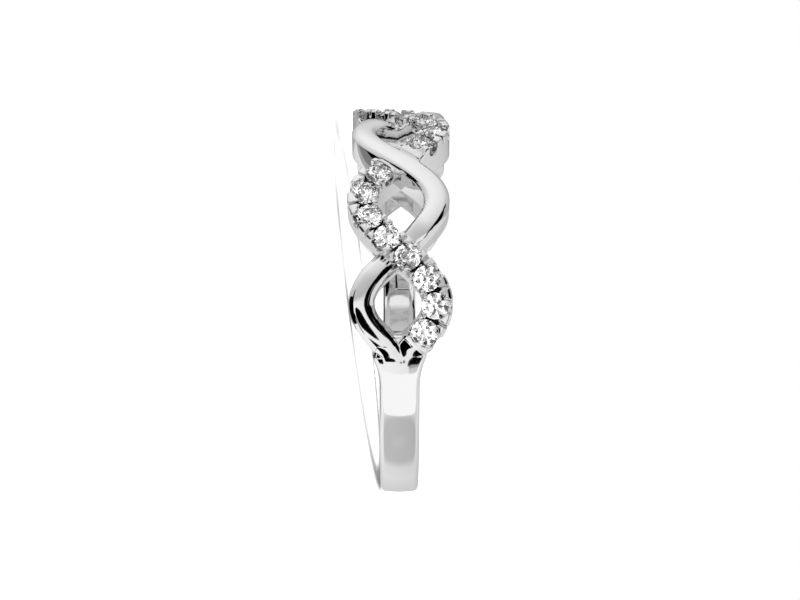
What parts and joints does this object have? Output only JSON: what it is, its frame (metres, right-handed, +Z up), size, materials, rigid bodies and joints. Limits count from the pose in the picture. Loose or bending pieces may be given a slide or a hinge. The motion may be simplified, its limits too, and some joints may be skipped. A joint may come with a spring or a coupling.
{
  "type": "half-eternity ring",
  "caption": "Finger ring whose upper half is two woven strands in a chain of infinity signs, one plain and one set with round stones; it lies on its side.",
  "frame": {"origin": "centre of the finger hole, half way between the two lobes of the woven head", "axes": "+Z up from the table that the ring lies on, 7 degrees off the hole's axis; +Y from the finger's centre to the middle of the woven head; +X to the side"},
  "size_m": [0.0208, 0.0206, 0.0059],
  "materials": {
    "white_gold": "high polish",
    "diamond": "faceted, polished"
  },
  "bodies": {
    "root": {"band": "white_gold", "stone_01": "diamond", "stone_02": "diamond", "stone_03": "diamond", "stone_04": "diamond", "stone_05": "diamond", "stone_06": "diamond", "stone_07": "diamond", "stone_08": "diamond", "stone_09": "diamond", "stone_10": "diamond", "stone_11": "diamond", "stone_12": "diamond", "stone_13": "diamond", "stone_14": "diamond", "stone_15": "diamond", "stone_16": "diamond", "stone_17": "diamond", "stone_18": "diamond", "stone_19": "diamond", "stone_20": "diamond", "stone_21": "diamond", "stone_22": "diamond", "stone_23": "diamond", "stone_24": "diamond"}
  },
  "joints": []
}
